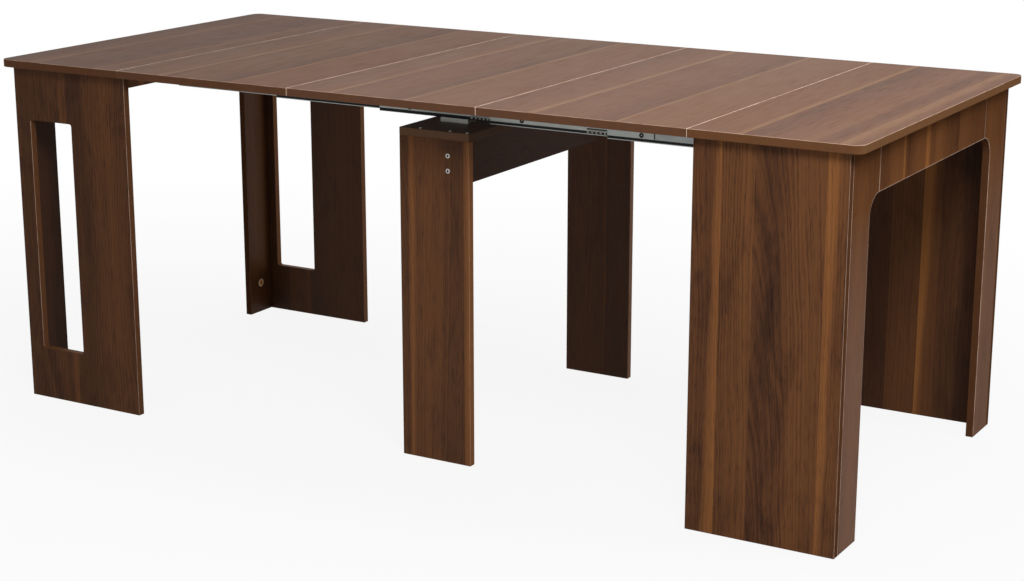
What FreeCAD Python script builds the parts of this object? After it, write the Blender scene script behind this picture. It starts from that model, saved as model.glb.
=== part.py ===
import FreeCAD, Part
import os

# Table top, opened as in the photograph. +X runs towards the plain base, -Y is the front edge.
open_length = 1950.0
closed_length = 650.0
top_width = 900.0
table_height = 750.0
board = 16.0
arris = 0.8
corner_radius = 20.0
leaf_count = 3
seam_gap = 0.6

# The two bases: side boards set in from the edges of the top, and a framed end between them.
side_inset = 14.0
end_inset = 25.0
slotted_side_past_seam = 5.0
plain_side_past_seam = 6.0
stile_width = 85.0
arch_radius = 42.0
apron_height = 94.0
slot_from_end = 40.0
slot_width = 114.0
slot_bottom = 115.0
slot_top = 622.0
slot_radius = 5.0
bearer_height = 36.0

# The trestle in the middle of the span.
trestle_left = -20.0
trestle_width = 160.0
trestle_inset = 100.0
trestle_top = 676.0
beam_height = 97.0
beam_left = 85.0
beam_screw_levels = (599.0, 629.0)
beam_screw_grip = 40.0
shelf_screw_places = (25.0, 93.0, 132.0)
shelf_screw_grip = 24.0
bracket_span = (18.0, 82.0)
bracket_foot = 30.0
bracket_screw_places = (32.0, 68.0)
bracket_screw_grip = 14.0

# Telescopic slides: six nested steel channels on each side, each one drawn out by the same travel.
rail_count = 6
rail_length = 500.0
rail_left = 406.0
rail_front = -285.0
rail_height = 52.0
rail_wall = 1.2
rail_step = 3.4
rail_tip = -262.0
race_bottom = 2.8
race_top = 6.4
race_depth = 1.0
race_slope = 0.5
bend = 1.0
carrier = 3
carrier_lip = 6.0
rail_hole = 10.0
rail_hole_from_end = 72.0
rail_hole_height = 13.0
bearer_play = 1.5
plate_span = (505.0, 885.0)
plate_edge = 8.0
plain_screw_places = (700.0, 780.0, 860.0)
spacer_height = 12.0
spacer_length = 40.0
spacer_places = (-860.0, -770.0, -680.0)

# Ball cages between neighbouring channels.
cage_hold = 235.0
cage_reaches = (45.0, 45.0, -6.0, -6.0, -6.0)
cage_wall = 0.6
cage_height = 9.3
cage_side_clearance = 0.3
cage_pocket = (5.0, 3.9)
cage_pocket_pitch = 9.0
cage_pocket_count = 5

# Fittings.
pin_diameter = 8.0
pin_reach = 10.0
pin_depth = 14.0
pin_taper = 2.0
pin_play = 0.35
pin_rows = (-320.0, 0.0, 320.0)
dowel_diameter = 8.0
dowel_length = 30.0
dowel_levels = (665.0, 709.0)
dowel_offsets = (68.0, 238.0)
cam_diameter = 20.0
cam_depth = 11.0
cam_proud = 0.6
cam_from_side = 41.0
cam_heights = (75.0, 640.0)
screw_head = 10.0
screw_head_height = 2.6
shelf_screw_head = 7.0
shelf_screw_head_height = 1.6
screw_shank = 4.0
plate = 2.0

# Pads under the leaves: where each pair sits along the table, and the channel that it rests on.
pad_length = 36.0
pad_width = 34.0
pad_places = {1: ((-560.0, 5), (-290.0, 4)), 2: ((-190.0, 4), (185.0, 2)), 3: ((245.0, 2), (330.0, 2))}

# Values that follow from the sizes above.
half_length = open_length / 2
half_width = top_width / 2
end_top_length = closed_length / 2
leaf_pitch = (open_length - closed_length) / leaf_count
stage_travel = (open_length - closed_length) / (rail_count - 1)
seams = [-half_length + end_top_length + leaf_pitch * k for k in range(leaf_count + 1)]
top_under = table_height - board
side_front = -half_width + side_inset
side_inner = side_front + board
apron_bottom = top_under - apron_height
end_outer = half_length - end_inset
end_inner = end_outer - board
stile_inner = side_inner + stile_width
apron_end = stile_inner + arch_radius
rail_bottom = top_under - rail_height
bearer_bottom = top_under - bearer_height

X = FreeCAD.Vector(1, 0, 0)
Y = FreeCAD.Vector(0, 1, 0)
Z = FreeCAD.Vector(0, 0, 1)
ORIGIN = FreeCAD.Vector(0, 0, 0)

nodes = {}


def block(x, y, z):
    """A plain block between pairs of coordinates."""
    corner = FreeCAD.Vector(x[0], y[0], z[0])
    return Part.makeBox(x[1] - x[0], y[1] - y[0], z[1] - z[0], corner)


def eased(shape):
    """Break every edge of a cut board, as its edging is."""
    return shape.makeChamfer(arris, shape.Edges)


def eased_board(x, y, z):
    return eased(block(x, y, z))


def rod(start, direction, length, diameter, sides=12, point=0):
    """A slim round fitting cut with flat sides, with its far end tapered if asked."""
    base = FreeCAD.Vector(*start)
    across = Z.cross(direction) if abs(direction.z) < 0.5 else X
    turn = FreeCAD.Rotation(direction, 360.0 / sides)
    corner = across * (diameter / 2)
    corners = []
    for side in range(sides):
        corners.append(base + corner)
        corner = turn.multVec(corner)
    shape = Part.Face(Part.makePolygon(corners + corners[:1])).extrude(direction * length)
    if point:
        tip = base + direction * length
        ends = [
            e for e in shape.Edges
            if all(abs((v.Point - tip).dot(direction)) < 1e-6 for v in e.Vertexes)]
        shape = shape.makeChamfer(point, ends)
    return shape


def prism(points, along):
    """Sweep a closed outline of straight runs along a vector."""
    corners = [FreeCAD.Vector(*p) for p in points]
    return Part.Face(Part.makePolygon(corners + corners[:1])).extrude(along)


def upright_edges(shape, direction):
    """The straight edges of a board that run through its thickness."""
    return [e for e in shape.Edges if abs(e.tangentAt(e.FirstParameter).dot(direction)) > 0.999]


def rear(shape):
    """The rear partner of a piece on the front side."""
    return shape.mirror(ORIGIN, Y)


def other_end(shape):
    """The slotted end's partner of a piece at the plain end."""
    return shape.mirror(ORIGIN, X)


def group(shapes):
    """Like pieces that share one node, front ones and their rear partners."""
    return Part.makeCompound(shapes + [rear(s) for s in shapes])


def screw(head_face, direction, shank_length, head=screw_head, height=screw_head_height):
    """A pan-head screw: a low eased head on the face, its shank driven into the board."""
    pan = rod(head_face, -direction, height, head, sides=10, point=height / 2)
    return pan.fuse(rod(head_face, direction, shank_length, screw_shank, sides=6)).removeSplitter()


# Boards of the top

def end_top():
    """The plain end's fixed top, with its two outer corners rounded."""
    span = (seams[-1] + seam_gap / 2, half_length)
    slab = block(span, (-half_width, half_width), (top_under, table_height))
    outer = [e for e in upright_edges(slab, Z) if e.BoundBox.XMin > half_length - 1]
    return eased(slab.makeFillet(corner_radius, outer))


def pin_sockets(edge_x):
    """Blind sockets for the alignment pins, in from the left-hand edge of a top board."""
    level = top_under + board / 2
    return [rod((edge_x, y, level), X, pin_depth, pin_diameter + 2 * pin_play) for y in pin_rows]


def pins(edge_x):
    """Alignment pins glued into a board's right-hand edge, with tapered ends."""
    start = edge_x - pin_depth
    level = top_under + board / 2
    length = pin_depth + pin_reach
    made = [rod((start, y, level), X, length, pin_diameter, point=pin_taper) for y in pin_rows]
    return Part.makeCompound(made)


def leaf(k):
    left = seams[k] + seam_gap / 2
    right = seams[k + 1] - seam_gap / 2
    shape = eased_board((left, right), (-half_width, half_width), (top_under, table_height))
    return shape.cut(pin_sockets(left))


nodes["plain_end_top"] = end_top().cut(pin_sockets(seams[-1] + seam_gap / 2))
nodes["slotted_end_top"] = other_end(end_top())
nodes["slotted_top_pins"] = pins(seams[0] - seam_gap / 2)
for k in range(leaf_count):
    nodes[f"leaf_{k + 1}"] = leaf(k)
    nodes[f"leaf_{k + 1}_pins"] = pins(seams[k + 1] - seam_gap / 2)


# The two bases

def stile():
    """An end-frame upright whose head widens through a concave curve to meet the apron."""
    spring = apron_bottom - arch_radius
    slack = arch_radius * (1 - 0.5 ** 0.5)
    foot_outer, foot_inner, curve_foot, crown, curve_head, head_inner, head_outer = [
        FreeCAD.Vector(end_inner, y, z) for y, z in (
            (side_inner, 0), (stile_inner, 0), (stile_inner, spring),
            (stile_inner + slack, apron_bottom - slack),
            (apron_end, apron_bottom), (apron_end, top_under), (side_inner, top_under))]
    outline = Part.Wire([
        Part.makeLine(foot_outer, foot_inner),
        Part.makeLine(foot_inner, curve_foot),
        Part.Arc(curve_foot, crown, curve_head).toShape(),
        Part.makeLine(curve_head, head_inner),
        Part.makeLine(head_inner, head_outer),
        Part.makeLine(head_outer, foot_outer)])
    return eased(Part.Face(outline).extrude(X * board))


def slotted_side(x):
    """A side board with its tall round-cornered slot."""
    shape = block(x, (side_front, side_inner), (0, top_under))
    left = x[0] + slot_from_end
    slot = block((left, left + slot_width), (side_front, side_inner), (slot_bottom, slot_top))
    return eased(shape.cut(slot.makeFillet(slot_radius, upright_edges(slot, Y))))


def dowels():
    """Glued dowels: two in each stile-to-apron joint, two up into the top from each side board."""
    x_mid = end_inner + board / 2
    made = []
    for z in dowel_levels:
        made.append(rod((x_mid, apron_end - dowel_length / 2, z), Y, dowel_length, dowel_diameter, sides=8))
    for offset in dowel_offsets:
        start = (end_outer - offset, side_front + board / 2, top_under - dowel_length * 2 / 3)
        made.append(rod(start, Z, dowel_length, dowel_diameter, sides=8))
    return made


def cam_locks():
    """Zinc cam locks sunk in the inner faces of the stiles, beside the side boards."""
    level = side_inner + cam_from_side
    start = end_inner - cam_proud
    return [rod((start, level, z), X, cam_depth + cam_proud, cam_diameter, sides=14) for z in cam_heights]


plain_side = (seams[-1] + plain_side_past_seam, end_outer)
slotted_span = (-end_outer, seams[0] + slotted_side_past_seam)
plain_board = eased_board(plain_side, (side_front, side_inner), (0, top_under))
slotted_board = slotted_side(slotted_span)
apron = eased_board((end_inner, end_outer), (apron_end, -apron_end), (apron_bottom, top_under))
nodes["plain_front_side"] = plain_board
nodes["plain_rear_side"] = rear(plain_board)
nodes["plain_front_stile"] = stile()
nodes["plain_rear_stile"] = rear(stile())
nodes["plain_apron"] = apron
nodes["plain_cam_locks"] = group(cam_locks())
nodes["plain_frame_dowels"] = group(dowels())
nodes["slotted_front_side"] = slotted_board
nodes["slotted_rear_side"] = rear(slotted_board)
nodes["slotted_front_stile"] = other_end(stile())
nodes["slotted_rear_stile"] = rear(other_end(stile()))
nodes["slotted_apron"] = other_end(apron)
nodes["slotted_cam_locks"] = other_end(nodes["plain_cam_locks"])
nodes["slotted_frame_dowels"] = other_end(nodes["plain_frame_dowels"])


# Telescopic slides

def rail_points(k):
    """Section of channel k, 1 the largest: outer face up from the lower flange, then back down inside."""
    height = rail_height - 2 * rail_step * (k - 1)
    web = rail_front + rail_step * (k - 1)
    foot = rail_bottom + rail_step * (k - 1)
    tip = rail_tip - web
    low_tip = tip + (carrier_lip if k == carrier else 0)
    race = [(0, race_bottom), (race_depth, race_bottom + race_slope)]
    race += [(race_depth, race_top - race_slope), (0, race_top)]
    outside = [(low_tip, 0), (bend, 0), (0, bend)] + race
    inside = [(low_tip, rail_wall), (rail_wall + bend / 2, rail_wall), (rail_wall, rail_wall + bend / 2)]
    inside += [(rail_wall + u, v) for u, v in race]
    upper_outside = [(min(u, tip), height - v) for u, v in reversed(outside)]
    upper_inside = [(min(u, tip), height - v) for u, v in inside]
    section = outside + upper_outside + upper_inside + inside[::-1]
    return [(web + u, foot + v) for u, v in section]


def rail_start(k):
    return rail_left - stage_travel * (k - 1)


def channel(k):
    """One of the five outer channels, with the round stop hole near its left end."""
    start = rail_start(k)
    shape = prism([(start, y, z) for y, z in rail_points(k)], X * rail_length)
    level = rail_bottom + rail_step * (k - 1) + rail_hole_height
    web = rail_front + rail_step * (k - 1)
    return shape.cut(rod((start + rail_hole_from_end, web - 1, level), Y, rail_wall + 2, rail_hole))


def inner_channel():
    """The innermost channel, turned the other way so that its web can be screwed to the slotted base."""
    k = rail_count
    start = rail_start(k)
    y0 = rail_front + rail_step * (k - 1)
    z0 = rail_bottom + rail_step * (k - 1)
    z1 = top_under - rail_step * (k - 1)
    inside = rail_tip - rail_wall
    section = [(y0, z0), (rail_tip - bend, z0), (rail_tip, z0 + bend), (rail_tip, z1 - bend),
               (rail_tip - bend, z1), (y0, z1), (y0, z1 - rail_wall), (inside, z1 - rail_wall),
               (inside, z0 + rail_wall), (y0, z0 + rail_wall)]
    return prism([(start, y, z) for y, z in section], X * rail_length)


def cage_strip_pair(k):
    """Upper and lower ball cages between channels k and k+1: strips with a row of open pockets."""
    start = rail_start(k) - cage_reaches[k - 1]
    length = cage_hold + cage_reaches[k - 1]
    wall = rail_front + rail_step * (k - 1) + rail_wall + race_depth + cage_side_clearance
    foot = rail_bottom + rail_step * k + race_bottom
    head = top_under - rail_step * k - race_bottom
    tall = min(cage_height, (head - foot) / 2 - 1)
    shape = block((start, start + length), (wall, wall + cage_wall), (foot, foot + tall))
    wide, high = cage_pocket
    for n in range(cage_pocket_count):
        left = start + cage_pocket_pitch * (n + 0.5)
        shape = shape.cut(block((left, left + wide), (wall, wall + cage_wall), (foot, foot + high)))
    mid_height = (foot + head) / 2
    return [shape, shape.mirror(FreeCAD.Vector(0, 0, mid_height), Z)]


for k in range(1, rail_count):
    nodes[f"front_rail_{k}"] = channel(k)
    nodes[f"rear_rail_{k}"] = rear(channel(k))
    nodes[f"ball_cages_{k}"] = group(cage_strip_pair(k))
nodes[f"front_rail_{rail_count}"] = inner_channel()
nodes[f"rear_rail_{rail_count}"] = rear(inner_channel())


# Bearers that carry the slides under the two end tops

carrier_tip = rail_tip + carrier_lip
slide_level = top_under - rail_height / 2
plain_bearer_inner = rail_front - plate
plain_bearer_outer = plain_bearer_inner - board
slotted_bearer_outer = carrier_tip + bearer_play
slotted_bearer_inner = slotted_bearer_outer + board
bearer_levels = (bearer_bottom, top_under)
spacer_depth = slotted_bearer_outer - rail_tip


def spacer(x):
    """A block that packs the innermost channel out to its bearer."""
    levels = (slide_level - spacer_height / 2, slide_level + spacer_height / 2)
    return block((x - spacer_length / 2, x + spacer_length / 2), (rail_tip, slotted_bearer_outer), levels)


plain_screws = [screw((x, plain_bearer_outer, slide_level), Y, board + plate) for x in plain_screw_places]
plain_bearer = eased_board(
    (plain_side[0], end_inner), (plain_bearer_outer, plain_bearer_inner), bearer_levels)
plate_levels = (rail_bottom + plate_edge, top_under - plate_edge)
rail_plate = block(plate_span, (plain_bearer_inner, rail_front), plate_levels)
nodes["plain_front_bearer"] = plain_bearer
nodes["plain_rear_bearer"] = rear(plain_bearer)
nodes["plain_rail_plates"] = group([rail_plate.cut(plain_screws)])
nodes["plain_rail_screws"] = group(plain_screws)

slotted_screws = [
    screw((x, slotted_bearer_inner, slide_level), -Y, board + spacer_depth) for x in spacer_places]
slotted_bearer = eased_board(
    (-end_inner, slotted_span[1]), (slotted_bearer_outer, slotted_bearer_inner), bearer_levels)
nodes["slotted_front_bearer"] = slotted_bearer
nodes["slotted_rear_bearer"] = rear(slotted_bearer)
nodes["slotted_rail_spacers"] = group([spacer(x).cut(slotted_screws) for x in spacer_places])
nodes["slotted_rail_screws"] = group(slotted_screws)


# Middle trestle, hung from the third channels

trestle_span = (trestle_left, trestle_left + trestle_width)
leg_outer = -half_width + trestle_inset
leg_inner = leg_outer + board
shelf_under = trestle_top - board
carrier_under = rail_bottom + rail_step * (carrier - 1)


def bracket():
    """A folded steel angle: its foot on the shelf, its riser under the third channel's lip."""
    foot = block(bracket_span, (carrier_tip, carrier_tip + bracket_foot), (trestle_top, trestle_top + plate))
    riser = block(bracket_span, (carrier_tip - plate, carrier_tip), (trestle_top, carrier_under))
    return riser.fuse(foot).removeSplitter()


leg = eased_board(trestle_span, (leg_outer, leg_inner), (0, shelf_under))
leg_middle = leg_outer + board / 2
beam = (beam_left, beam_left + board)
beam_middle = beam_left + board / 2
beam_screws = [
    screw((beam_middle, leg_outer, z), Y, board + beam_screw_grip) for z in beam_screw_levels]
shelf_head = (shelf_screw_head, shelf_screw_head_height)
shelf_screws = [
    screw((x, leg_middle, trestle_top), -Z, board + shelf_screw_grip, *shelf_head)
    for x in shelf_screw_places]
bracket_middle = carrier_tip + bracket_foot / 2
bracket_face = trestle_top + plate
bracket_screws = [
    screw((x, bracket_middle, bracket_face), -Z, plate + bracket_screw_grip, *shelf_head)
    for x in bracket_screw_places]
nodes["middle_front_leg"] = leg
nodes["middle_rear_leg"] = rear(leg)
nodes["middle_beam"] = eased_board(beam, (leg_inner, -leg_inner), (shelf_under - beam_height, shelf_under))
nodes["middle_top_board"] = eased_board(trestle_span, (leg_outer, -leg_outer), (shelf_under, trestle_top))
nodes["front_rail_bracket"] = bracket().cut(bracket_screws)
nodes["rear_rail_bracket"] = rear(nodes["front_rail_bracket"])
nodes["middle_leg_screws"] = group(beam_screws)
nodes["middle_shelf_screws"] = group(shelf_screws + bracket_screws)


# Nylon pads under the leaves

def pad(x, k):
    """A pad as deep as channel k lies below the top."""
    rail_top = top_under - rail_step * (k - 1)
    span = (x - pad_length / 2, x + pad_length / 2)
    return block(span, (rail_front, rail_front + pad_width), (rail_top, top_under))


for k, places in pad_places.items():
    nodes[f"leaf_{k}_pads"] = group([pad(x, rail) for x, rail in places])


os.makedirs("parts", exist_ok=True)
for name, shape in nodes.items():
    shape.exportStep(f"parts/{name}.step")
triangles = sum(len(shape.tessellate(0.1)[1]) for shape in nodes.values())
valid = all(shape.isValid() for shape in nodes.values())
print(len(nodes), "nodes,", triangles, "triangles, all valid:", valid)
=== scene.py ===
import math

import bmesh
import bpy
from mathutils import Matrix, Vector


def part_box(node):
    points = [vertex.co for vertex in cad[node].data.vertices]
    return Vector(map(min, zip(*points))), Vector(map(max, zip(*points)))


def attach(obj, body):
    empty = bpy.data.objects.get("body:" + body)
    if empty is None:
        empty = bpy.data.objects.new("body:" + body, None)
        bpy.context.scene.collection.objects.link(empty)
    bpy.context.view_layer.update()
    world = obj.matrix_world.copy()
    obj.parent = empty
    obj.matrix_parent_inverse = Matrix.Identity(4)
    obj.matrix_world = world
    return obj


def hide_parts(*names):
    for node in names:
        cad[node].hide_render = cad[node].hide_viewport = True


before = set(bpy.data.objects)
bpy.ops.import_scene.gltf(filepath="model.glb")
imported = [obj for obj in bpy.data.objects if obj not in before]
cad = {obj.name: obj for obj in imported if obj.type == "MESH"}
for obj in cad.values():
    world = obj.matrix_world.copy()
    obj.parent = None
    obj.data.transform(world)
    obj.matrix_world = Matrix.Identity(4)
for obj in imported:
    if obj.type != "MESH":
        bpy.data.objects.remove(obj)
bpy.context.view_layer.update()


# Plain base, side boards: 16 mm chipboard faced with a walnut-print laminate whose grain stands
# upright. The print is laid out in planks with an amber streak here and there, and the cut edges
# carry a thin strip whose arrises show as fine pale lines, each with a painted highlight on it.

X, Y, Z = 0, 1, 2
MM = 0.001
WALNUT = ((0.0, (28, 19, 14)), (0.3, (64, 40, 27)), (0.5, (90, 57, 35)),
          (0.7, (107, 68, 40)), (1.0, (134, 86, 46)))
# Pale colour of the arrises: the pale edge itself, with a painted highlight on it
ARRIS_PALE_AND_HIGHLIGHT = (208, 182, 164)
# Blotches to the metre across the grain and along it, and how far the first two bend it, in metres
WANDER, WANDER_SIZE = (9, 1.6, 1), 0.034
RIPPLE, RIPPLE_SIZE = (45, 8, 1), 0.008
CLEAR_PATCHES, SMOKY_PATCHES, MOTTLE = (9, 1.3, 1), (19, 5.0, 1), (30, 4, 1)
PORES_ACROSS, PORES_ALONG = 450, 34
# Patches of edge fibres, of where the pale arrises and their painted highlight fade, and of dullness
EDGE_FIBRES, WEAR_AND_GLINT, DULL_PATCHES = (60, 60, 60), (35, 35, 35), (5, 5, 5)
# The share of the wander that streaks follow
STREAK_WANDER = 0.35
# Year rings and fine lines to the metre, and how far from the heart the straight-grained planks lay
RINGS_PER_METRE, CLOSE_RINGS_PER_METRE = 125.0, 160.0
UNEVEN_RINGS_PER_METRE, UNEVENNESS = 45.0, 2.2
FINE_LINES_PER_METRE = 290.0
SAWN_ASIDE, PLANK_SHIFT = 0.3, 0.5
# How much each darkens the tone, how far two more swing it, and how much the whole face gets back
RING_DEPTH, LINE_DEPTH, PORE_DEPTH, SMOKE_DEPTH = 0.16, 0.11, 0.10, 0.19
MOTTLE_DEPTH, FIBRE_DEPTH = 0.14, 0.12
FIGURE_LIFT = 0.08
# How squarely a surface looks along an axis to be a face, more than an edge, or two ways at a corner
SQUARE_ON, ASLANT, BOTH_WAYS = 0.92, 0.3, 0.25
# Roughness of the faces, what pores and patches add, and how high rings stand beside pores
DULL, PORE_DULL, PATCH_DULL = 0.39, 0.08, 0.06
RING_RELIEF = 0.4
# How far below its matt part the polish of a board begins to fade, in millimetres
MATT_FADE = 300


def paint(colour):
    """Screen colour 0-255 as the linear values that shaders take."""
    linear = [(c / 255 / 12.92) if c < 11 else ((c / 255 + 0.055) / 1.055) ** 2.4 for c in colour]
    return (*linear, 1.0)


def feed(tree, kind, sockets=None, **settings):
    """One shader node, its sockets filled with values or joined to other nodes' outputs."""
    made = tree.nodes.new("ShaderNode" + kind)
    for setting, value in settings.items():
        setattr(made, setting, value)
    for socket, value in (sockets or {}).items():
        if isinstance(value, bpy.types.NodeSocket):
            tree.links.new(value, made.inputs[socket])
        else:
            made.inputs[socket].default_value = value
    return made


def calc(tree, operation, *values):
    return feed(tree, "Math", dict(enumerate(values)), operation=operation).outputs[0]


def add(tree, first, *others):
    for other in others:
        first = calc(tree, "ADD", first, other)
    return first


def times(tree, first, *others):
    for other in others:
        first = calc(tree, "MULTIPLY", first, other)
    return first


def scaled(tree, value, low, high, to_low=0.0, to_high=1.0):
    """A value carried from one range to another and held between its ends."""
    sockets = {0: value, 1: low, 2: high, 3: to_low, 4: to_high}
    return feed(tree, "MapRange", sockets).outputs[0]


def cloud(tree, spot, stretch, detail=2.0, rough=0.5, twist=0.0):
    """Noise drawn out along the grain: stretch is how many blotches there are to the metre."""
    drawn = feed(tree, "VectorMath", {0: spot, 1: stretch}, operation="MULTIPLY").outputs[0]
    sockets = {"Vector": drawn, "Scale": 1.0, "Detail": detail, "Roughness": rough, "Distortion": twist}
    return feed(tree, "TexNoise", sockets).outputs[0]


def sway(tree, spot, stretch, size):
    """Noise that swings evenly to both sides of nothing, size from end to end."""
    return times(tree, calc(tree, "SUBTRACT", cloud(tree, spot, stretch), 0.5), size)


def stripes(tree, distance, to_the_metre):
    """Noise along one measure, such as the distance from the heart of a tree."""
    count = times(tree, distance, to_the_metre)
    sockets = {"W": count, "Scale": 1.0, "Detail": 1.0, "Roughness": 0.55}
    return feed(tree, "TexNoise", sockets, noise_dimensions="1D").outputs[0]


def ramp(tree, value, stops, mode="LINEAR"):
    """A colour ramp from (place, linear colour) stops."""
    made = feed(tree, "ValToRGB", {0: value})
    made.color_ramp.interpolation = mode
    elements = made.color_ramp.elements
    elements.remove(elements[1])
    elements[0].position, elements[0].color = stops[0]
    for place, colour in stops[1:]:
        elements.new(place).color = colour
    return made.outputs[0]


def grey(level):
    return (level, level, level, 1.0)


def blended(tree, share, first, second):
    sockets = {0: share, 6: first, 7: second}
    return feed(tree, "Mix", sockets, data_type="RGBA").outputs[2]


def new_finish(name):
    """An empty node material with its shader: returns material, tree and shader."""
    made = bpy.data.materials.new(name)
    made.use_nodes = True
    tree = made.node_tree
    tree.nodes.clear()
    shader = feed(tree, "BsdfPrincipled")
    feed(tree, "OutputMaterial", {0: shader.outputs[0]})
    return made, tree, shader


class Board:
    """A board's shader tree, and a point on it: how far across its width and along its grain it lies
    in metres, how the grain bends there, and which way the surface faces."""

    def __init__(self, tree, grain, width, start, seed):
        self.tree, self.grain, self.width, self.seed = tree, grain, width, seed
        self.place = feed(tree, "TexCoord").outputs["Object"]
        self.axes = feed(tree, "SeparateXYZ", {0: self.place}).outputs
        self.across = calc(tree, "SUBTRACT", self.axes[width], start * MM)
        self.along = self.axes[grain]
        self.spot = feed(tree, "CombineXYZ", {0: self.across, 1: self.along, 2: seed}).outputs[0]
        self.wander = sway(tree, self.spot, WANDER, WANDER_SIZE)
        self.ripple = sway(tree, self.spot, RIPPLE, RIPPLE_SIZE)
        straight_out = feed(tree, "NewGeometry").outputs["True Normal"]
        self.normal = feed(tree, "SeparateXYZ", {0: straight_out}).outputs
        self.facing = self.normal[X + Y + Z - grain - width]
        self.on_face = calc(tree, "GREATER_THAN", calc(tree, "ABSOLUTE", self.facing), SQUARE_ON)


def plank_stops(planks):
    """Ramp stops for the tone across a board, and for each plank's number and its two borders."""
    board_width = planks[-1][-1][0]
    hair, joint = 0.0008, 0.001
    tones, borders = [], []
    for number, plank in enumerate(planks):
        first, last = plank[0][0] / board_width, plank[-1][0] / board_width
        borders.append((first, (number / len(planks), first + joint, last, 1.0)))
        for millimetres, tone in plank:
            across = millimetres / board_width
            if tones and across <= tones[-1][0]:
                across = tones[-1][0] + hair
            tones.append((min(across, 1.0), grey(tone)))
    return tones, borders, board_width * MM


def laid_planks(board, planks, slant):
    """The number of the plank at a point, from 0 to 1, and its tone. Its streaks lean by slant and
    follow the grain, but stop at the borders of the plank."""
    tree = board.tree
    tones, borders, board_width = plank_stops(planks)
    straight = calc(tree, "DIVIDE", board.across, board_width)
    plank = feed(tree, "SeparateColor", {0: ramp(tree, straight, borders, "CONSTANT")}).outputs
    bend = add(tree, times(tree, board.wander, STREAK_WANDER), board.ripple)
    stray = add(tree, bend, times(tree, board.along, -slant))
    streak = calc(tree, "DIVIDE", add(tree, board.across, stray), board_width)
    held = calc(tree, "MINIMUM", calc(tree, "MAXIMUM", streak, plank[1]), plank[2])
    return plank[0], ramp(tree, held, tones)


def heart_distance(board, number, sawn, centre, crown, lean):
    """How far a point lies from the heart of its tree, and 1 where the plank was sawn aside of it."""
    tree = board.tree
    aside = calc(tree, "SUBTRACT", 1.0, calc(tree, "COMPARE", number, sawn, 0.02))
    sawn_off = times(tree, aside, SAWN_ASIDE)
    beside = add(tree, board.across, -centre * MM, sawn_off, board.wander, board.ripple)
    above = times(tree, calc(tree, "SUBTRACT", board.along, crown * MM), lean)
    square = add(tree, calc(tree, "POWER", beside, 2.0), calc(tree, "POWER", above, 2.0))
    return add(tree, calc(tree, "SQRT", square), times(tree, number, PLANK_SHIFT), board.seed), aside


def drawn_figure(board, distance, aside, plank_tone, pore_run):
    """The tone that year rings, fine lines, pores and smoky patches give a plank, and the rings and
    the pores themselves."""
    tree, spot = board.tree, board.spot
    uneven = times(tree, stripes(tree, distance, UNEVEN_RINGS_PER_METRE), UNEVENNESS)
    rings_per_metre = scaled(tree, aside, 0.0, 1.0, RINGS_PER_METRE, CLOSE_RINGS_PER_METRE)
    year = calc(tree, "FRACT", add(tree, times(tree, distance, rings_per_metre), uneven))
    rings = ramp(tree, year, ((0.35, grey(0)), (0.86, grey(1)), (0.97, grey(0))))
    fine = scaled(tree, stripes(tree, distance, FINE_LINES_PER_METRE), 0.40, 0.66)
    clear = scaled(tree, cloud(tree, spot, CLEAR_PATCHES), 0.40, 0.60)
    pores = scaled(tree, cloud(tree, spot, (PORES_ACROSS, pore_run, 1), 1.5), 0.51, 0.69)
    smoke = scaled(tree, cloud(tree, spot, SMOKY_PATCHES, 3.0, 0.55, 1.5), 0.50, 0.70)
    shown = times(tree, clear, scaled(tree, plank_tone, 0.28, 0.46, 0.25, 1.0))
    faint = calc(tree, "SUBTRACT", 1.25, clear)
    darkness = calc(tree, "SUBTRACT", 1.0, plank_tone)
    drawn = add(tree, times(tree, rings, shown, -RING_DEPTH), times(tree, fine, faint, -LINE_DEPTH),
                times(tree, pores, -PORE_DEPTH), times(tree, smoke, darkness, -SMOKE_DEPTH), FIGURE_LIFT)
    return drawn, rings, pores


def edge_strip(board, shades, edging, end_edging):
    """The colour of the strip on a board's edges."""
    tree = board.tree
    fibres = cloud(tree, board.place, EDGE_FIBRES)
    tone = add(tree, times(tree, fibres, FIBRE_DEPTH), edging - FIBRE_DEPTH / 2)
    if end_edging:
        endwise = calc(tree, "ABSOLUTE", board.normal[board.grain])
        tone = add(tree, tone, scaled(tree, endwise, ASLANT, 0.9, 0.0, end_edging - edging))
    return ramp(tree, tone, shades)


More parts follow.
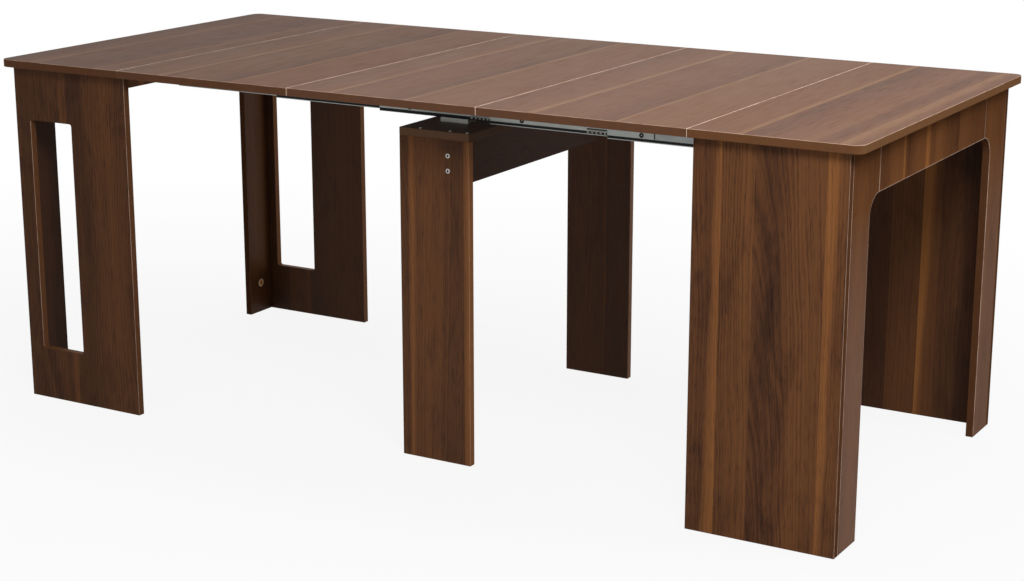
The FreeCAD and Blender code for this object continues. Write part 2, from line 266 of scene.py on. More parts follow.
def pale_lines(board, line=0.2, cross_line=0.0, corner_line=0.0, seam_side=0, outward=0, arch=None):
    """How pale a board's arrises are, worn in patches and with a painted highlight on them: line along
    the grain, cross_line across it and corner_line at the corners. outward is the face that shows them,
    0 for both. seam_side is the side that lies at a seam, 0 for both, and the other side gets
    cross_line. arch is the opening of an end frame, (half its width, height, corner radius, breadth of
    the rim), whose rim is pale too, with the same painted highlight."""
    tree, normal = board.tree, board.normal
    towards = times(tree, board.facing, outward) if outward else calc(tree, "ABSOLUTE", board.facing)
    on_arris = calc(tree, "SUBTRACT", calc(tree, "GREATER_THAN", towards, ASLANT), board.on_face)
    crossing = calc(tree, "GREATER_THAN", calc(tree, "ABSOLUTE", normal[board.grain]), ASLANT)
    if seam_side:
        off_seam = calc(tree, "LESS_THAN", times(tree, normal[board.width], seam_side), 0.0)
        crossing = calc(tree, "MAXIMUM", crossing, off_seam)
    # Patches where the pale arrises and their painted highlight fade
    worn_and_glinting = scaled(tree, cloud(tree, board.place, WEAR_AND_GLINT, 3.0), 0.35, 0.55, 0.5, 1.0)
    strength = scaled(tree, crossing, 0.0, 1.0, line, cross_line)
    pale = times(tree, calc(tree, "MAXIMUM", on_arris, 0.0), worn_and_glinting, strength)
    if corner_line:
        both = calc(tree, "ABSOLUTE", times(tree, normal[board.grain], normal[board.width]))
        at_corner = calc(tree, "GREATER_THAN", both, BOTH_WAYS)
        pale = calc(tree, "MAXIMUM", pale, times(tree, at_corner, corner_line))
    if arch:
        half, height, radius, rim = (size * MM for size in arch)
        beside = calc(tree, "SUBTRACT", calc(tree, "ABSOLUTE", board.axes[Y]), half - radius)
        above = calc(tree, "SUBTRACT", board.axes[Z], height - radius)
        square = add(tree, calc(tree, "POWER", calc(tree, "MAXIMUM", beside, 0.0), 2.0),
                     calc(tree, "POWER", calc(tree, "MAXIMUM", above, 0.0), 2.0))
        on_rim = calc(tree, "LESS_THAN", calc(tree, "SQRT", square), radius + rim)
        pale = calc(tree, "MAXIMUM", pale, times(tree, on_rim, board.on_face, worn_and_glinting, cross_line))
    return pale


def walnut(name, grain, width, start, planks, seed, heart, crown=300, lean=0.07, slant=0.0, colours=WALNUT,
           figure=1.0, pore_run=PORES_ALONG, polish=0.05, sheen=0.0, matt_to=None, edging=0.42,
           end_edging=None, **lines):
    """Walnut-print board, in millimetres. grain and width are its axes, and start is where its width
    begins. Each plank is a run of (distance from the start, tone), and slant is how far its streaks
    lean. heart is the plank sawn through the heart of its tree and where that lies, crown where along
    the board the rings arch over it and lean how far they reach; the other planks are straight-grained.
    figure is how plain the grain shows, and pore_run how many pores lie end to end in a metre. polish is
    how glossy its faces are, below the height matt_to where one is given, and sheen its edges. edging is
    the tone of its edges, and end_edging of those that the grain runs into, where that differs; on some
    boards these tones are raised or lowered as painted light and shade on the edges. lines are what
    pale_lines takes."""
    made, tree, shader = new_finish(name)
    board = Board(tree, grain, width, start, seed)
    shades = [(where, paint(colour)) for where, colour in colours]
    number, plank_tone = laid_planks(board, planks, slant)
    sawn, centre = heart
    distance, aside = heart_distance(board, number, sawn / len(planks), centre, crown, lean)
    drawn, rings, pores = drawn_figure(board, distance, aside, plank_tone, pore_run)
    mottle = sway(tree, board.spot, MOTTLE, MOTTLE_DEPTH * figure)
    face = ramp(tree, add(tree, plank_tone, mottle, times(tree, drawn, figure)), shades)
    surface = blended(tree, board.on_face, edge_strip(board, shades, edging, end_edging), face)
    coloured = blended(tree, pale_lines(board, **lines), surface, paint(ARRIS_PALE_AND_HIGHLIGHT))
    tree.links.new(coloured, shader.inputs["Base Color"])

    patches = cloud(tree, board.place, DULL_PATCHES)
    dull = add(tree, times(tree, pores, PORE_DULL), times(tree, patches, PATCH_DULL), DULL)
    tree.links.new(dull, shader.inputs["Roughness"])
    relief = times(tree, add(tree, times(tree, rings, RING_RELIEF), pores), -1.0)
    bump = feed(tree, "Bump", {"Strength": 0.25, "Distance": 0.0001, "Height": relief})
    tree.links.new(bump.outputs[0], shader.inputs["Normal"])
    gloss = scaled(tree, board.on_face, 0.0, 1.0, sheen, polish)
    if matt_to:
        fade_from, fade_to = (matt_to - MATT_FADE) * MM, matt_to * MM
        gloss = times(tree, gloss, scaled(tree, board.axes[Z], fade_from, fade_to, 1.0, 0.0))
    tree.links.new(gloss, shader.inputs["Specular IOR Level"])
    return made


def dress(finish, *names):
    """Give CAD pieces a finish in every slot."""
    for name in names:
        for slot in cad[name].material_slots:
            slot.material = finish


def begins(name, axis):
    """Where a CAD piece begins along an axis, in millimetres."""
    return round(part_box(name)[0][axis] / MM, 3)


side_print = (((0, .44), (14, .39), (27, .40), (34, .66), (45, .80), (55, .82)),
              ((56, .48), (70, .48), (95, .54), (118, .56)),
              ((119, .37), (130, .34), (150, .35), (170, .42), (195, .55), (252, .51)),
              ((253, .82), (259, .76), (267, .52), (294, .50)))
rear_print = (((0, .28), (64, .32)),
              ((64, .46), (95, .50), (130, .46)),
              ((131, .98), (135, .84), (144, .52), (172, .42)),
              ((173, .38), (215, .35)),
              ((215, .24), (294, .20)))
plain_sides_start = begins("plain_front_side", X)
dress(walnut("walnut_plain_side", Z, X, plain_sides_start, side_print, seed=3.1, heart=(2, 112), crown=-400,
             lean=0.075, slant=0.022, figure=1.2, line=0.3, outward=-1), "plain_front_side")
dress(walnut("walnut_plain_rear", Z, X, plain_sides_start, rear_print, seed=9.4, heart=(3, 210), crown=200,
             slant=0.03, figure=0.6), "plain_rear_side")


# Plain base, end frame: two stiles whose heads sweep out in a quarter round to meet the apron between
# them. All three are laminate boards with upright grain, butted together and dowelled, so each joint
# shows as one pale hairline with a painted highlight on it.

arch_radius, arch_rim = 42, 1.8
stile_matt_to = 620
stile_print = (((0, .51), (40, .61), (85, .53), (130, .55)),)
apron_print = (((0, .56), (12, .47), (34, .47), (58, .62), (84, .69), (117, .67)),
               ((118, .96), (126, .90), (131, .60), (142, .45), (156, .47), (190, .64), (236, .65)),
               ((237, .92), (250, .96), (259, .84), (264, .56), (286, .56), (300, .69), (320, .69),
                (340, .58), (380, .46), (425, .45)),
               ((426, .66), (432, .60), (500, .58), (520, .50), (586, .47)))


def ends(name, axis):
    """Where a CAD piece ends along an axis, in millimetres."""
    return round(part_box(name)[1][axis] / MM, 3)


stile_width = stile_print[-1][-1][0]
front_stile_start = begins("plain_front_stile", Y)
rear_stile_start = ends("plain_rear_stile", Y) - stile_width
apron_start = begins("plain_apron", Y)
arch_half, arch_height = ends("plain_apron", Y) + arch_radius, begins("plain_apron", Z)
end_arch = (arch_half, arch_height, arch_radius, arch_rim)
dress(walnut("walnut_front_stile", Z, Y, front_stile_start, stile_print, seed=5.2, heart=(0, 60), figure=0.6,
             polish=0.05, matt_to=stile_matt_to, line=0.6, cross_line=0.5, outward=1, arch=end_arch),
      "plain_front_stile")
dress(walnut("walnut_rear_stile", Z, Y, rear_stile_start, stile_print, seed=6.7, heart=(0, 80), figure=0.6,
             polish=0.02, matt_to=stile_matt_to, line=0.5, cross_line=0.5, outward=1, arch=end_arch),
      "plain_rear_stile")
dress(walnut("walnut_apron", Z, Y, apron_start, apron_print, seed=7.9, heart=(2, 350), crown=900, figure=0.7,
             polish=0.0, line=0.85, cross_line=0.5, outward=1, arch=end_arch), "plain_apron")


# Cam locks and dowels: die-cast drums sunk into the inner faces of the stiles, turned with a
# cross-head driver to draw the side boards tight, and beech dowels glued in the joints.

# Colour of the dark bands painted on plated steel, and the roughness they add: grease with painted shade in
# the running grooves, painted shade on the cages and a painted shadow at the plates' ends
DARK_BAND, DARK_BAND_DULL = (26, 27, 27), 0.2
ROLLING_LINES, BLOOM, BLOOM_SHADE = (6, 900, 900), (25, 25, 25), 0.93
BEECH_FIBRES, BEECH_DARK, BEECH_LIGHT = (40, 900, 900), (176, 140, 100), (206, 174, 134)
SHARP_ANGLE = math.radians(35)
cam_radius = 10
cam_faces_x = begins("plain_cam_locks", X)
cam_places_y = (begins("plain_cam_locks", Y) + cam_radius, ends("plain_cam_locks", Y) - cam_radius)
cam_places_z = (75, 640)


def cross(reach, half_width):
    """Outline of a driver's cross recess, as a radius for each angle."""
    def radius(angle):
        turn = abs((angle + math.pi / 4) % (math.pi / 2) - math.pi / 4)
        return min(reach / math.cos(turn), half_width / max(math.sin(turn), 0.001))
    return radius


def turned(name, finish, rings, places, sides=24, hollow=False, recess=None):
    """Like turned fittings joined in one piece. rings are (radius, height) in millimetres from one end
    to the other, a radius being a number or an outline, and the last meets the first again in a hollow
    piece. places are (point, direction of the top), and recess is the finish inside the first rings,
    which paints the shade in a screw's cross recess."""
    shape = bmesh.new()
    for point, direction in places:
        turn = Vector((0, 0, 1)).rotation_difference(Vector(direction)).to_matrix().to_4x4()
        seat = Matrix.Translation(Vector(point) * MM) @ turn @ Matrix.Scale(MM, 4)
        loops = []
        for radius, height in rings:
            loop = []
            for step in range(sides):
                angle = math.tau * step / sides
                out = radius(angle) if callable(radius) else radius
                corner = Vector((out * math.cos(angle), out * math.sin(angle), height))
                loop.append(shape.verts.new(seat @ corner))
            loops.append(loop)
        followers = loops[1:] + loops[:1] if hollow else loops[1:]
        for upper, lower in zip(loops, followers):
            for step in range(sides):
                after = (step + 1) % sides
                shape.faces.new((upper[step], lower[step], lower[after], upper[after]))
        if not hollow:
            shape.faces.new(loops[0])
            shape.faces.new(loops[-1][::-1])
        if recess:
            for corner in loops[0]:
                for face in corner.link_faces:
                    face.material_index = 1
    bmesh.ops.recalc_face_normals(shape, faces=shape.faces)
    mesh = bpy.data.meshes.new(name)
    shape.to_mesh(mesh)
    shape.free()
    mesh.materials.append(finish)
    if recess:
        mesh.materials.append(recess)
    mesh.shade_smooth()
    mesh.set_sharp_from_angle(angle=SHARP_ANGLE)
    made = bpy.data.objects.new(name, mesh)
    bpy.context.scene.collection.objects.link(made)
    return made


def plated(name, colour, low, high, metal=1.0, races=()):
    """Plated metal, its roughness between low and high. races tells where a dark band is painted on it, by
    the distance along one axis from a middle: (axis, middle, from, to) in millimetres. The band is grease
    with painted shade in a slide's running grooves, painted shade along the top edge of a ball cage and
    a painted shadow at a plate's end."""
    made, tree, shader = new_finish(name)
    place = feed(tree, "TexCoord").outputs["Object"]
    rolled = cloud(tree, place, ROLLING_LINES)
    bloom = cloud(tree, place, BLOOM, 3.0)
    shade = [c * BLOOM_SHADE for c in colour]
    bright = ramp(tree, bloom, ((0.35, paint(shade)), (0.65, paint(colour))))
    rough = scaled(tree, rolled, 0.3, 0.7, low, high)
    if races:
        axis, mid_line, near, far = races
        level = feed(tree, "SeparateXYZ", {0: place}).outputs[axis]
        off = calc(tree, "ABSOLUTE", calc(tree, "SUBTRACT", level, mid_line * MM))
        beyond, within = calc(tree, "GREATER_THAN", off, near * MM), calc(tree, "LESS_THAN", off, far * MM)
        painted_dark_band = times(tree, beyond, within)
        bright = blended(tree, painted_dark_band, bright, paint(DARK_BAND))
        rough = add(tree, rough, times(tree, painted_dark_band, DARK_BAND_DULL))
    tree.links.new(bright, shader.inputs["Base Color"])
    tree.links.new(rough, shader.inputs["Roughness"])
    bump = feed(tree, "Bump", {"Strength": 0.2, "Distance": 0.00005, "Height": rolled})
    tree.links.new(bump.outputs[0], shader.inputs["Normal"])
    shader.inputs["Metallic"].default_value = metal
    return made


cam_gold = plated("cam_gold", (250, 176, 84), 0.34, 0.5, metal=0.7)
cam_cream = plated("cam_cream", (246, 214, 172), 0.4, 0.55, metal=0.4)
drum_rings = [(cross(2.4, 0.5), -2.0), (cross(4.0, 0.8), -0.2), (5.4, 0.0), (6.2, 0.0), (6.4, -0.3),
              (6.4, -11.4)]
collar_rings = [(6.6, -0.4), (6.9, -0.05), (9.4, -0.05), (9.85, -0.4), (9.85, -8.6), (9.3, -9.2),
                (6.6, -9.2)]
for base, side in (("plain", 1), ("slotted", -1)):
    seats = [((side * cam_faces_x, y, z), (-side, 0, 0)) for y in cam_places_y for z in cam_places_z]
    for cams in (turned(f"{base}_cam_drums", cam_gold, drum_rings, seats),
                 turned(f"{base}_cam_collars", cam_cream, collar_rings, seats, hollow=True)):
        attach(cams, f"{base}_base")
        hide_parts(f"{base}_cam_locks")

beech, tree, shader = new_finish("beech")
place = feed(tree, "TexCoord").outputs["Object"]
fibres = cloud(tree, place, BEECH_FIBRES, 3.0)
beech_tan = ramp(tree, fibres, ((0.3, paint(BEECH_DARK)), (0.7, paint(BEECH_LIGHT))))
tree.links.new(beech_tan, shader.inputs["Base Color"])
tree.links.new(scaled(tree, fibres, 0.3, 0.7, 0.5, 0.65), shader.inputs["Roughness"])
dress(beech, "plain_frame_dowels", "slotted_frame_dowels")


# Slotted base: the same laminate boards at the other end, held by the same cam locks and dowels, with
# one tall slot with eased corners routed through each side board.

slot_print = (((0, .36), (40, .33), (90, .38), (124, .37)),
              ((125, .46), (133, .56), (140, .48)),
              ((141, .33), (190, .31), (232, .43), (262, .48), (305, .36)))
slot_rear_print = (((0, .36), (75, .32)),
                   ((76, .46), (120, .44), (140, .54)),
                   ((141, .36), (230, .42), (305, .44)))
# The slotted front stile's print is painted dark, as the shade on its inner face behind the slot
shade_painted_stile_print = (((0, .20), (40, .26), (85, .20), (130, .22)),)
slotted_sides_start = begins("slotted_front_side", X)
# The side boards' edges take lighter tones than the plain base's, as painted light from the right on their
# end edges
dress(walnut("walnut_slotted_side", Z, X, slotted_sides_start, slot_print, seed=12.3, heart=(0, 605),
             slant=-0.02, figure=0.9, sheen=0.03, edging=0.50, line=0.35), "slotted_front_side")
dress(walnut("walnut_slotted_rear", Z, X, slotted_sides_start, slot_rear_print, seed=14.8, heart=(0, 640),
             figure=0.6, polish=0.1, sheen=0.05, edging=0.77), "slotted_rear_side")
dress(walnut("walnut_slotted_front_stile", Z, Y, front_stile_start, shade_painted_stile_print, seed=15.5,
             heart=(0, 330), figure=0.5), "slotted_front_stile")
dress(walnut("walnut_slotted_rear_stile", Z, Y, rear_stile_start, stile_print, seed=17.1,
             heart=(0, 390), figure=0.6, polish=0.1), "slotted_rear_stile")
dress(walnut("walnut_slotted_apron", Z, Y, apron_start, apron_print, seed=19.6, heart=(2, 300), crown=900,
             figure=0.6), "slotted_apron")


# Bearers: plain laminate strips fixed out of sight under the two end tops, to carry the slides.
# Pan-head wood screws of plated steel go through them into the slides.

strip_print = (((0, .42), (18, .46), (36, .42)),)
bearers_foot = begins("plain_front_bearer", Z)
dress(walnut("walnut_bearer", X, Z, bearers_foot, strip_print, seed=21.0, heart=(0, 25)),
      "plain_front_bearer", "plain_rear_bearer", "slotted_front_bearer", "slotted_rear_bearer")

screw_steel = plated("screw_steel", (206, 204, 198), 0.24, 0.36, metal=0.8)
# Dark finish painted inside the screws' cross recesses, as the shade in them
recess_shade_steel = plated("recess_shade_steel", (52, 48, 45), 0.5, 0.6, metal=0.5)
pan_radius, bearer_screws = 5.0, 3
pan_head = [(cross(2.2, 0.8), 0.4), (cross(3.2, 1.2), 2.4), (3.7, 2.6), (4.4, 2.3), (4.8, 1.6),
            (pan_radius, 0.7), (pan_radius, 0.0), (1.9, 0.0)]
thread_pitch, thread_root, thread_crest = 2.0, 1.5, 2.0
point_length, point_radius = 4.0, 0.3


def middle(name, axis):
    """The middle of a CAD piece along an axis, in millimetres."""
    return (begins(name, axis) + ends(name, axis)) / 2


def evenly(first, last, count):
    """Places spaced evenly from the first to the last."""
    return [first + (last - first) * step / (count - 1) for step in range(count)]


def screw_rings(head, length):
    """A wood screw, from the floor of its cross recess over the head and down the threads."""
    rings = list(head)
    depth = thread_pitch
    while depth < length - point_length:
        rings += [(thread_root, -depth), (thread_crest, -depth - thread_pitch / 2)]
        depth += thread_pitch
    return rings + [(thread_root, -length + point_length / 2), (point_radius, -length)]


def screws(name, node, body, head, groups):
    """Screws that stand for one node. groups are (length, places)."""
    for number, (length, places) in enumerate(groups):
        rings = screw_rings(head, length)
        made = turned(f"{name}_{number + 1}", screw_steel, rings, places, recess=recess_shade_steel)
        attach(made, body)
        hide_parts(node)


def bearer_row(node):
    """Where the screws of a node stand along the bearers."""
    return evenly(begins(node, X) + pan_radius, ends(node, X) - pan_radius, bearer_screws)


slide_level = middle("front_rail_1", Z)
outer_face, inner_face = -begins("plain_front_bearer", Y), -ends("slotted_front_bearer", Y)
outer_length = outer_face + begins("front_rail_1", Y)
inner_length = -ends("front_rail_6", Y) - inner_face
outside = [((x, side * outer_face, slide_level), (0, side, 0))
           for x in bearer_row("plain_rail_screws") for side in (-1, 1)]
screws("plain_bearer_screws", "plain_rail_screws", "plain_base", pan_head, [(outer_length, outside)])
inside = [((x, side * inner_face, slide_level), (0, -side, 0))
          for x in bearer_row("slotted_rail_screws") for side in (-1, 1)]
screws("slotted_bearer_screws", "slotted_rail_screws", "slotted_base", pan_head, [(inner_length, inside)])


# Telescopic slides: six roll-formed channels of zinc-plated steel nested in each other, whose
# running grooves are painted dark, as grease and the shade in them. Thin plates pack the outer
# channels off their bearers, and plastic blocks the inner ones.

ZINC = (160, 163, 158)
PLASTIC_GRAIN, PLASTIC_FLECK = (900, 900, 900), 6
channels, carrier = 6, 3
slide_bodies = ("plain_base", "rail_stage_2", "middle_trestle", "rail_stage_4", "rail_stage_5",
                "slotted_base")
race_from, race_to, past_the_edge = 1.7, 6.9, 1.0
# Reach of the painted shadow at the left end of the plates, in millimetres
end_shadow_from, end_shadow_to = -1000.0, 2.6
block_rounding, rounding_steps = 0.5, 2


def moulded(name, colour):
    """Plain moulded plastic with a fine grain."""
    made, tree, shader = new_finish(name)
    place = feed(tree, "TexCoord").outputs["Object"]
    grains = cloud(tree, place, PLASTIC_GRAIN)
    light = [c + PLASTIC_FLECK for c in colour]
    tinted = ramp(tree, grains, ((0.3, paint(colour)), (0.7, paint(light))))
    tree.links.new(tinted, shader.inputs["Base Color"])
    tree.links.new(scaled(tree, grains, 0.3, 0.7, 0.42, 0.58), shader.inputs["Roughness"])
    bump = feed(tree, "Bump", {"Strength": 0.2, "Distance": 0.0001, "Height": grains})
    tree.links.new(bump.outputs[0], shader.inputs["Normal"])
    shader.inputs["Specular IOR Level"].default_value = 0.25
    return made


def ease(width, *names):
    """Round off the sharp folds of small pressed and moulded pieces."""
    for name in names:
        rounding = cad[name].modifiers.new("eased", "BEVEL")
        rounding.width, rounding.segments = width * MM, rounding_steps


for number in range(1, channels + 1):
    half = ends(f"front_rail_{number}", Z) - slide_level
    near, far = half - race_to, half - race_from
    # On the carrier channel the dark band runs on over its lower lip, as painted shade
    if number == carrier:
        far = half + past_the_edge
    races = (Z, slide_level, near, far)
    finish = plated(f"zinc_channel_{number}", ZINC, 0.38, 0.52, metal=0.5, races=races)
    dress(finish, f"front_rail_{number}", f"rear_rail_{number}")

black_plastic = moulded("black_plastic", (8, 8, 9))
# A painted shadow darkens the plates near their left end
plate_end_shadow = (X, begins("plain_rail_plates", X), end_shadow_from, end_shadow_to)
dress(plated("zinc_plate", (150, 153, 152), 0.34, 0.48, metal=0.5, races=plate_end_shadow), "plain_rail_plates")
dress(black_plastic, "slotted_rail_spacers")
ease(block_rounding, "slotted_rail_spacers", "plain_rail_plates")


# Ball cages and holes: pressed steel strips whose pockets hold the balls in the grooves between
# neighbouring channels, with a painted shade along their top edges, and in the hole near the end of
# each channel but the innermost a black plastic ring, standing for the shade at the hole's rim, with a
# zinc rivet in it.

CAGE_GREY = (138, 138, 132)
pockets, pocket_pitch, pocket_half = 5, 9.0, 2.5
# How far a cage's top edge lies below the channel's head, and how far the painted shade there reaches above
# and below it
cage_top, top_shade_width, top_shade_overlap = 15.5, 2.2, 0.6
ball_radius, ball_lift, ball_depth = 1.05, 8.1, 3.3
ball_bands, ball_sides = 7, 10
hole_from_end, hole_lift = 72.0, 13.0

ball_steel = plated("ball_steel", (74, 75, 76), 0.14, 0.22, metal=0.9)
ball_rings = []
for band in range(ball_bands):
    swing = math.pi * (band + 0.5) / ball_bands
    ball_rings.append((ball_radius * math.sin(swing), ball_radius * math.cos(swing)))
# A black ring that stands for the shade at the rim of each hole, and the zinc rivet in it
hole_shade_rings = [(1.5, 0.15), (1.8, 0.4), (4.6, 0.4), (4.95, 0.1), (4.95, -1.15), (1.5, -1.15)]
rivet_rings = [(0.7, 0.3), (1.1, 0.15), (1.4, -0.2), (1.4, -1.1)]
stop_zinc = plated("zinc_rivet", ZINC, 0.3, 0.4, metal=0.3)
for number in range(1, channels):
    rail, cages = f"front_rail_{number}", f"ball_cages_{number}"
    web, foot, head = begins(rail, Y), begins(rail, Z), ends(rail, Z)
    cage_half = head - slide_level - cage_top
    # A painted shade darkens a band along the top edge of each cage
    cage_top_shade = (Z, slide_level, cage_half - top_shade_overlap, cage_half + top_shade_width)
    dress(plated(f"cage_steel_{number}", CAGE_GREY, 0.4, 0.55, metal=0.4, races=cage_top_shade), cages)
    places = []
    for pocket in range(pockets):
        x = begins(cages, X) + pocket_pitch * (pocket + 0.5) + pocket_half
        for z in (foot + ball_lift, head - ball_lift):
            places += [((x, web + ball_depth, z), (0, 0, 1)), ((x, -web - ball_depth, z), (0, 0, 1))]
    balls = turned(f"steel_balls_{number}", ball_steel, ball_rings, places, sides=ball_sides)
    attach(balls, f"cage_stage_{number}")
    hole_x, hole_z = begins(rail, X) + hole_from_end, foot + hole_lift
    seats = [((hole_x, web, hole_z), (0, -1, 0)), ((hole_x, -web, hole_z), (0, 1, 0))]
    # The black ring paints the shade at the rim of the hole
    ring = turned(f"hole_shade_rings_{number}", black_plastic, hole_shade_rings, seats, hollow=True)
    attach(ring, slide_bodies[number - 1])
    rivet = turned(f"stop_rivets_{number}", stop_zinc, rivet_rings, seats)
    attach(rivet, slide_bodies[number - 1])


# Middle trestle: two laminate leg boards with a narrow top board on them and a deep beam between. Two
# screws through each leg hold the beam, three down through the top board hold each leg, and folded
# steel angles hang the trestle from the third channels.

# Greyer walnut for the trestle's top board, a painted sheen
SHEEN_PAINTED_SHELF_WALNUT = ((0.0, (30, 21, 17)), (0.62, (102, 75, 58)), (1.0, (140, 108, 86)))
leg_print = (((0, .40), (10, .38), (18, .36)),
             ((19, .60), (24, .76), (30, .58), (36, .48)),
             ((37, .47), (60, .52), (88, .47), (100, .41), (146, .37)),
             ((147, .60), (153, .76), (160, .70)))
rear_leg_print = (((0, .36), (60, .40), (94, .38)),
                  ((95, .50), (98, .44), (101, .33), (160, .34)))
beam_print = (((0, .25), (40, .28), (97, .25)),)
# The trestle's top board is printed lighter, as painted light under the table top
light_painted_shelf_print = (((0, .54), (80, .58), (160, .54)),)
trestle_start, beam_foot = begins("middle_front_leg", X), begins("middle_beam", Z)
# The legs' edges take a light tone, as painted light from the right on their end edges
dress(walnut("walnut_front_leg", Z, X, trestle_start, leg_print, seed=23.7, heart=(2, 260), crown=-300,
             lean=0.08, slant=0.006, figure=0.9, polish=0.08, sheen=0.03, edging=0.85), "middle_front_leg")
dress(walnut("walnut_rear_leg", Z, X, trestle_start, rear_leg_print, seed=25.3, heart=(0, 260), figure=0.5,
             polish=0.11, sheen=0.1, edging=0.85), "middle_rear_leg")
dress(walnut("walnut_beam", Y, Z, beam_foot, beam_print, seed=27.7, heart=(0, 340), figure=0.4, polish=0.03,
             line=0.0), "middle_beam")
# The trestle's top board is painted greyer and lighter than the other boards, as painted sheen and light,
# and its side edges darker than its front edge, as painted shade
dress(walnut("walnut_shelf", Y, X, trestle_start, light_painted_shelf_print, seed=29.9, heart=(0, 380),
             colours=SHEEN_PAINTED_SHELF_WALNUT, polish=0.3, sheen=0.015, edging=0.36, end_edging=0.62, line=0.0),
      "middle_top_board")
bracket_rounding = 0.6
zinc_bracket = plated("zinc_bracket", (196, 197, 190), 0.34, 0.48, metal=0.4)
dress(zinc_bracket, "front_rail_bracket", "rear_rail_bracket")
ease(bracket_rounding, "front_rail_bracket", "rear_rail_bracket")

small_radius = 3.5
small_head = [(cross(1.2, 0.4), 0.1), (cross(2.2, 0.6), 1.4), (2.5, 1.6), (3.1, 1.3),
              (small_radius, 0.5), (small_radius, 0.0), (1.9, 0.0)]
leg_face, leg_middle = -begins("middle_front_leg", Y), -middle("middle_front_leg", Y)
beam_x, beam_screws_z, beam_screw_length = middle("middle_beam", X), (599, 629), 56
shelf_face, shelf_screw_length = ends("middle_top_board", Z), 40
shelf_screws_x = (begins("middle_shelf_screws", X) + small_radius, beam_x,
                  ends("middle_shelf_screws", X) - small_radius)
bracket_margin, bracket_thickness, bracket_middle, bracket_screw_length = 14, 2, 241, 16
bracket_face = shelf_face + bracket_thickness
bracket_screws_x = (begins("front_rail_bracket", X) + bracket_margin,
                    ends("front_rail_bracket", X) - bracket_margin)
through_legs = [((beam_x, side * leg_face, z), (0, side, 0)) for z in beam_screws_z for side in (-1, 1)]
screws("beam_screws", "middle_leg_screws", "middle_trestle", pan_head, [(beam_screw_length, through_legs)])
on_shelf = [((x, side * leg_middle, shelf_face), (0, 0, 1)) for x in shelf_screws_x for side in (-1, 1)]
on_bracket = [((x, side * bracket_middle, bracket_face), (0, 0, 1))
              for x in bracket_screws_x for side in (-1, 1)]
screws("shelf_screws", "middle_shelf_screws", "middle_trestle", small_head,
       [(shelf_screw_length, on_shelf), (bracket_screw_length, on_bracket)])


# Top: two fixed end tops and three loose leaves of the same laminate board, laid with the grain
# across the table. Each has two thin tan joints in its print, and each seam shows its pale arrises,
# with a painted highlight on them.

TOP_WALNUT = ((0.0, (30, 20, 15)), (0.3, (64, 40, 27)), (0.5, (90, 57, 36)),
              (0.75, (106, 74, 49)), (1.0, (124, 92, 62)))
leaf_width = 433.4


def leaf_print(first, second, low):
    """Planks of a leaf, from the millimetres at which its two tan joints lie. low shifts its tone."""
    return (((0, .44 + low), (first - 40, .51 + low), (first - 10, .53 + low), (first - 6, .74 + low),
             (first + 2, .92 + low)),
            ((first + 3, .45 + low), (first + 45, .52 + low), (second - 60, .47 + low),
             (second - 22, .40 + low), (second - 9, .42 + low)),
            ((second - 8, .92 + low), (second - 2, .74 + low), (second + 2, .54 + low),
             (second + 60, .55 + low), (leaf_width, .51 + low)))


left_print = (((0, .36), (60, .44), (84, .46), (88, .62), (97, .70)),
              ((98, .43), (150, .43), (225, .38), (262, .43)),
              ((263, .62), (270, .56), (278, .46), (325, .46)))
right_print = (((0, .50), (40, .55), (90, .53), (97, .72), (104, .84)),
               ((105, .43), (130, .41), (175, .48), (232, .58), (245, .44), (268, .42)),
               ((269, .50), (279, .52), (284, .74), (300, .68), (306, .50), (325, .47)))
tops = (("slotted_end_top", left_print, 0.028, 0.05, 0.43, 1),
        ("leaf_1", leaf_print(117, 298, -0.02), 0.035, 0.10, 0.43, 0),
        ("leaf_2", leaf_print(105, 280, 0.01), 0.055, 0.16, 0.44, 0),
        ("leaf_3", leaf_print(121, 298, 0.02), 0.065, 0.16, 0.44, 0),
        ("plain_end_top", right_print, 0.055, 0.0, 0.58, -1))
first_top_seed, top_seed_step = 31.0, 3.3
seam_gap = begins("leaf_1", X) - ends("slotted_end_top", X)
# After the first board, a print begins in the middle of a seam, to a tenth of a millimetre
for number, (name, planks, polish, sheen, front_edging, seam_side) in enumerate(tops):
    start = begins(name, X)
    if number:
        start = round(start - seam_gap / 2, 1)
    # The end edges take edging, lighter than the front edges, and the right end top's front edge is lighter
    # than the rest: painted light from the right
    finish = walnut(f"walnut_{name}", Y, X, start, planks, seed=first_top_seed + top_seed_step * number,
                    heart=(1, 500), crown=100, lean=0.03, colours=TOP_WALNUT, figure=0.5, pore_run=12,
                    polish=polish, sheen=sheen, edging=0.74, end_edging=front_edging, line=0.8,
                    cross_line=0.38, corner_line=0.0 if seam_side else 0.8, seam_side=seam_side, outward=1)
    dress(finish, name)


# Leaf pins and pads: fluted beech pins glued into the edges line each leaf up with the next board,
# and plastic pads under the leaves rest on the slides.

pins_to_an_edge, bore_radius = 3, 4.0
pin_radius, flute_depth, flute_count = 3.98, 0.22, 12
pad_rounding = 0.8


def flutes(angle):
    """Outline of a fluted dowel."""
    return pin_radius - flute_depth * (0.5 - 0.5 * math.cos(flute_count * angle))


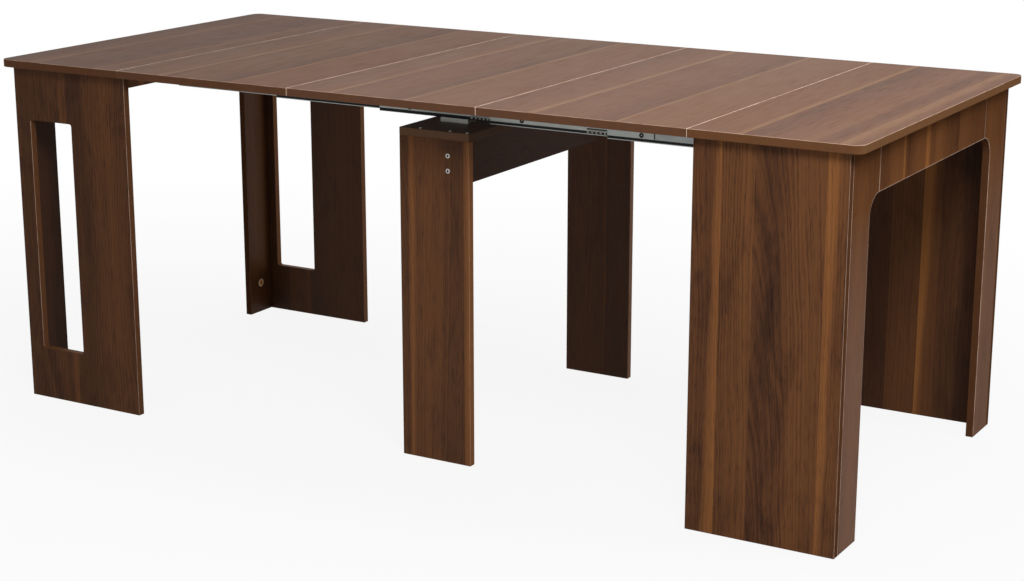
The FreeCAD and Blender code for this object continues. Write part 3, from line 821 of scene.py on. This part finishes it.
pin_rings = [(3.3, 0.0), (flutes, 0.8), (flutes, 22.0), (2.0, 24.0)]
pinned = (("slotted_top_pins", "slotted_base"), ("leaf_1_pins", "leaf_1_body"),
          ("leaf_2_pins", "leaf_2_body"), ("leaf_3_pins", "leaf_3_body"))
for node, body in pinned:
    row = evenly(begins(node, Y) + bore_radius, ends(node, Y) - bore_radius, pins_to_an_edge)
    seats = [((begins(node, X), y, middle(node, Z)), (1, 0, 0)) for y in row]
    pins = turned(node.replace("_pins", "_dowel_pins"), beech, pin_rings, seats)
    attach(pins, body)
    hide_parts(node)
dress(black_plastic, "leaf_1_pads", "leaf_2_pads", "leaf_3_pads")
ease(pad_rounding, "leaf_1_pads", "leaf_2_pads", "leaf_3_pads")


# Studio: a pale floor that goes over into a white surround. Soft lamps stand at the front right, at
# the right, overhead and in front, with two more behind, and the camera at the photographed angle.

WHITE = (1.0, 1.0, 1.0, 1.0)
FLOOR_GREY = (168, 168, 167)
floor_reach, floor_level = 40.0, -0.0004
floor_oval = (0.62, 1.0, 1.0)
white_from, white_to, near_white = 0.6, 2.2, 0.90
surround_light = 0.18
lamps = (("key", (1.9, -2.0, 2.8), (0.5, -0.2, 0.5), 1.2, 1.2, 98.0),
         ("side", (3.4, 0.5, 3.2), (0.9, 0.0, 0.5), 1.2, 1.2, 54.0),
         ("overhead", (0.9, 0.1, 3.0), (0.7, 0.0, 0.7), 1.6, 1.4, 34.0),
         ("fill", (-0.6, -4.2, 0.9), (-0.2, 0.0, 0.35), 2.4, 1.2, 30.0),
         ("rim", (1.7, 2.2, 0.5), (0.0, 0.35, 0.4), 0.9, 0.7, 13.0),
         ("back", (-2.8, 3.2, 1.1), (-0.2, 0.2, 0.4), 2.2, 1.2, 60.0))
camera_place = (2.1772, -3.6486, 1.3951)
camera_turn, camera_tilt = math.radians(30.47), math.radians(14.876)
focal_length, film_width = 72.0, 36.0


def sees_white(tree):
    """1 for what the camera, a reflection or a glass sees, 0 for light that falls on the table."""
    rays = feed(tree, "LightPath").outputs
    mirrored = calc(tree, "MAXIMUM", rays["Is Glossy Ray"], rays["Is Transmission Ray"])
    return calc(tree, "MAXIMUM", rays["Is Camera Ray"], mirrored)


def aimed(name, data, place, sight):
    """A lamp or camera at a place, looking along a line of sight."""
    made = bpy.data.objects.new(name, data)
    made.location = place
    made.rotation_mode = "QUATERNION"
    made.rotation_quaternion = sight.to_track_quat("-Z", "Y")
    bpy.context.scene.collection.objects.link(made)
    return made


floor_mesh = bpy.data.meshes.new("floor")
corners = [(x * floor_reach, y * floor_reach, floor_level) for x, y in ((-1, -1), (1, -1), (1, 1), (-1, 1))]
floor_mesh.from_pydata(corners, [], [(0, 1, 2, 3)])
floor = bpy.data.objects.new("floor", floor_mesh)
bpy.context.scene.collection.objects.link(floor)
pale_floor = bpy.data.materials.new("pale_floor")
pale_floor.use_nodes = True
tree = pale_floor.node_tree
tree.nodes.clear()
place = feed(tree, "TexCoord").outputs["Object"]
oval = feed(tree, "VectorMath", {0: place, 1: floor_oval}, operation="MULTIPLY").outputs[0]
away = feed(tree, "VectorMath", {0: oval}, operation="LENGTH").outputs["Value"]
whiteness = times(tree, sees_white(tree), scaled(tree, away, white_from, white_to, near_white, 1.0))
matt = feed(tree, "BsdfDiffuse", {0: paint(FLOOR_GREY)})
glow = feed(tree, "Emission", {0: WHITE, 1: 1.0})
mixed = feed(tree, "MixShader", {0: whiteness, 1: matt.outputs[0], 2: glow.outputs[0]})
feed(tree, "OutputMaterial", {0: mixed.outputs[0]})
floor_mesh.materials.append(pale_floor)

world = bpy.data.worlds.new("surround")
bpy.context.scene.world = world
world.use_nodes = True
tree = world.node_tree
tree.nodes.clear()
strength = scaled(tree, sees_white(tree), 0.0, 1.0, surround_light, 1.0)
surround = feed(tree, "Background", {0: WHITE, 1: strength})
feed(tree, "OutputWorld", {0: surround.outputs[0]})

for name, lamp_place, target, width, height, power in lamps:
    lamp = bpy.data.lights.new(name, "AREA")
    lamp.shape = "RECTANGLE"
    lamp.size, lamp.size_y, lamp.energy = width, height, power
    softbox = aimed(name, lamp, lamp_place, Vector(target) - Vector(lamp_place))
    softbox.visible_camera = softbox.visible_glossy = False

lens = bpy.data.cameras.new("camera")
lens.lens, lens.sensor_width = focal_length, film_width
level_sight = Vector((-math.sin(camera_turn), math.cos(camera_turn), 0.0)) * math.cos(camera_tilt)
camera_sight = level_sight - Vector((0.0, 0.0, math.sin(camera_tilt)))
bpy.context.scene.camera = aimed("camera", lens, camera_place, camera_sight)
bpy.context.scene.view_settings.view_transform = "Standard"
